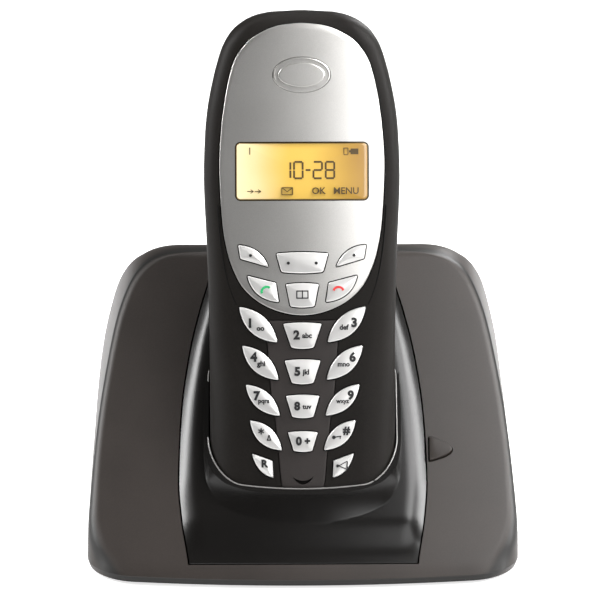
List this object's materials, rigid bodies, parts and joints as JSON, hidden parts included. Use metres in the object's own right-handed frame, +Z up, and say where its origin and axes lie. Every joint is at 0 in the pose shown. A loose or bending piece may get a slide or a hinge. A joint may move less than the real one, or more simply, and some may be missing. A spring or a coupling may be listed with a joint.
{
  "type": "cordless phone with base",
  "caption": "Cordless phone: a slim handset with a keypad and display, standing in the lipped cradle of a sloping charging base.",
  "frame": {"origin": "middle of the footprint, on the surface that the feet stand on", "axes": "+X to the right of the phone, +Y towards its back, +Z up"},
  "size_m": [0.1164, 0.11, 0.1424],
  "materials": {
    "graphite": "fine-grained satin warm grey moulding",
    "gloss_black": "polished black moulding",
    "soft_black": "fine-textured soft black moulding",
    "satin_silver": "satin silver lacquer",
    "dark_strip": "smooth dark inlay",
    "pearl": "pearl silver key caps with dark printed digits",
    "amber_window": "backlit amber display behind a clear window",
    "gold": "gold-plated contact",
    "steel": "plain steel",
    "board_green": "green solder mask",
    "rubber": "matt black rubber",
    "dark_plastic": "plain black moulding",
    "cell_wrap": "shrink-wrapped cell"
  },
  "bodies": {
    "base": {"base_top_cover": "graphite", "base_bottom_cover": "graphite", "cradle": "gloss_black", "base_circuit_board": "board_green", "paging_switch": "dark_plastic", "line_jack": "dark_plastic", "power_jack": "dark_plastic", "base_antenna": "steel", "foot_1": "rubber", "foot_2": "rubber", "foot_3": "rubber", "foot_4": "rubber", "base_screw_1": "steel", "base_screw_2": "steel", "base_screw_3": "steel", "base_screw_4": "steel"},
    "handset": {"front_shell": "soft_black", "back_shell": "soft_black", "faceplate": "satin_silver", "display_window": "amber_window", "display_panel": "amber_window", "earpiece_grille": "satin_silver", "earpiece_speaker": "dark_plastic", "handset_circuit_board": "board_green", "keypad_mat": "rubber", "microphone": "dark_plastic", "ringer": "dark_plastic", "handset_contact_left": "gold", "handset_contact_right": "gold", "battery_cell_left": "cell_wrap", "battery_cell_right": "cell_wrap", "battery_spring_left": "steel", "battery_spring_right": "steel", "centre_strip": "dark_strip", "handset_antenna": "steel"},
    "directory_key_body": {"directory_key": "pearl"},
    "end_key_body": {"end_key": "pearl"},
    "key_0_body": {"key_0": "pearl"},
    "key_1_body": {"key_1": "pearl"},
    "key_2_body": {"key_2": "pearl"},
    "key_3_body": {"key_3": "pearl"},
    "key_4_body": {"key_4": "pearl"},
    "key_5_body": {"key_5": "pearl"},
    "key_6_body": {"key_6": "pearl"},
    "key_7_body": {"key_7": "pearl"},
    "key_8_body": {"key_8": "pearl"},
    "key_9_body": {"key_9": "pearl"},
    "key_hash_body": {"key_hash": "pearl"},
    "key_mute_body": {"key_mute": "pearl"},
    "key_r_body": {"key_r": "pearl"},
    "key_star_body": {"key_star": "pearl"},
    "menu_rocker_body": {"menu_rocker": "pearl"},
    "soft_key_left_body": {"soft_key_left": "pearl"},
    "soft_key_right_body": {"soft_key_right": "pearl"},
    "talk_key_body": {"talk_key": "pearl"},
    "battery_cover_body": {"battery_cover": "soft_black"},
    "paging_key_body": {"paging_key": "graphite"},
    "charge_contact_left_body": {"charge_contact_left": "gold"},
    "charge_contact_right_body": {"charge_contact_right": "gold"}
  },
  "joints": [
    {"name": "handset_lift", "type": "slide", "parent": "base", "child": "handset", "axis": [0, 0.342, 0.9397], "range_m": [0, 0.08]},
    {"name": "directory_key_press", "type": "slide", "parent": "handset", "child": "directory_key_body", "axis": [0, 0.9397, -0.342], "range_m": [0, 0.0007], "stiffness_N_per_m": 400},
    {"name": "end_key_press", "type": "slide", "parent": "handset", "child": "end_key_body", "axis": [0, 0.9397, -0.342], "range_m": [0, 0.0007], "stiffness_N_per_m": 400},
    {"name": "key_0_press", "type": "slide", "parent": "handset", "child": "key_0_body", "axis": [0, 0.9397, -0.342], "range_m": [0, 0.0007], "stiffness_N_per_m": 400},
    {"name": "key_1_press", "type": "slide", "parent": "handset", "child": "key_1_body", "axis": [0, 0.9397, -0.342], "range_m": [0, 0.0007], "stiffness_N_per_m": 400},
    {"name": "key_2_press", "type": "slide", "parent": "handset", "child": "key_2_body", "axis": [0, 0.9397, -0.342], "range_m": [0, 0.0007], "stiffness_N_per_m": 400},
    {"name": "key_3_press", "type": "slide", "parent": "handset", "child": "key_3_body", "axis": [0, 0.9397, -0.342], "range_m": [0, 0.0007], "stiffness_N_per_m": 400},
    {"name": "key_4_press", "type": "slide", "parent": "handset", "child": "key_4_body", "axis": [0, 0.9397, -0.342], "range_m": [0, 0.0007], "stiffness_N_per_m": 400},
    {"name": "key_5_press", "type": "slide", "parent": "handset", "child": "key_5_body", "axis": [0, 0.9397, -0.342], "range_m": [0, 0.0007], "stiffness_N_per_m": 400},
    {"name": "key_6_press", "type": "slide", "parent": "handset", "child": "key_6_body", "axis": [0, 0.9397, -0.342], "range_m": [0, 0.0007], "stiffness_N_per_m": 400},
    {"name": "key_7_press", "type": "slide", "parent": "handset", "child": "key_7_body", "axis": [0, 0.9397, -0.342], "range_m": [0, 0.0007], "stiffness_N_per_m": 400},
    {"name": "key_8_press", "type": "slide", "parent": "handset", "child": "key_8_body", "axis": [0, 0.9397, -0.342], "range_m": [0, 0.0007], "stiffness_N_per_m": 400},
    {"name": "key_9_press", "type": "slide", "parent": "handset", "child": "key_9_body", "axis": [0, 0.9397, -0.342], "range_m": [0, 0.0007], "stiffness_N_per_m": 400},
    {"name": "key_hash_press", "type": "slide", "parent": "handset", "child": "key_hash_body", "axis": [0, 0.9397, -0.342], "range_m": [0, 0.0007], "stiffness_N_per_m": 400},
    {"name": "key_mute_press", "type": "slide", "parent": "handset", "child": "key_mute_body", "axis": [0, 0.9397, -0.342], "range_m": [0, 0.0007], "stiffness_N_per_m": 400},
    {"name": "key_r_press", "type": "slide", "parent": "handset", "child": "key_r_body", "axis": [0, 0.9397, -0.342], "range_m": [0, 0.0007], "stiffness_N_per_m": 400},
    {"name": "key_star_press", "type": "slide", "parent": "handset", "child": "key_star_body", "axis": [0, 0.9397, -0.342], "range_m": [0, 0.0007], "stiffness_N_per_m": 400},
    {"name": "menu_rocker_tilt", "type": "hinge", "parent": "handset", "child": "menu_rocker_body", "pos_m": [0, -0.01876, 0.07982], "axis": [0, 0.342, 0.9397], "range_deg": [-3, 3], "stiffness_Nm_per_rad": 0.05},
    {"name": "soft_key_left_press", "type": "slide", "parent": "handset", "child": "soft_key_left_body", "axis": [0, 0.9397, -0.342], "range_m": [0, 0.0007], "stiffness_N_per_m": 400},
    {"name": "soft_key_right_press", "type": "slide", "parent": "handset", "child": "soft_key_right_body", "axis": [0, 0.9397, -0.342], "range_m": [0, 0.0007], "stiffness_N_per_m": 400},
    {"name": "talk_key_press", "type": "slide", "parent": "handset", "child": "talk_key_body", "axis": [0, 0.9397, -0.342], "range_m": [0, 0.0007], "stiffness_N_per_m": 400},
    {"name": "battery_cover_slide", "type": "slide", "parent": "handset", "child": "battery_cover_body", "axis": [0, -0.342, -0.9397], "range_m": [0, 0.006]},
    {"name": "paging_key_press", "type": "slide", "parent": "base", "child": "paging_key_body", "axis": [0, 0.6769, -0.7361], "range_m": [0, 0.0008], "stiffness_N_per_m": 500},
    {"name": "charge_contact_left_spring", "type": "slide", "parent": "base", "child": "charge_contact_left_body", "axis": [0, -0.342, -0.9397], "range_m": [0, 0.0007], "stiffness_N_per_m": 250},
    {"name": "charge_contact_right_spring", "type": "slide", "parent": "base", "child": "charge_contact_right_body", "axis": [0, -0.342, -0.9397], "range_m": [0, 0.0007], "stiffness_N_per_m": 250}
  ]
}
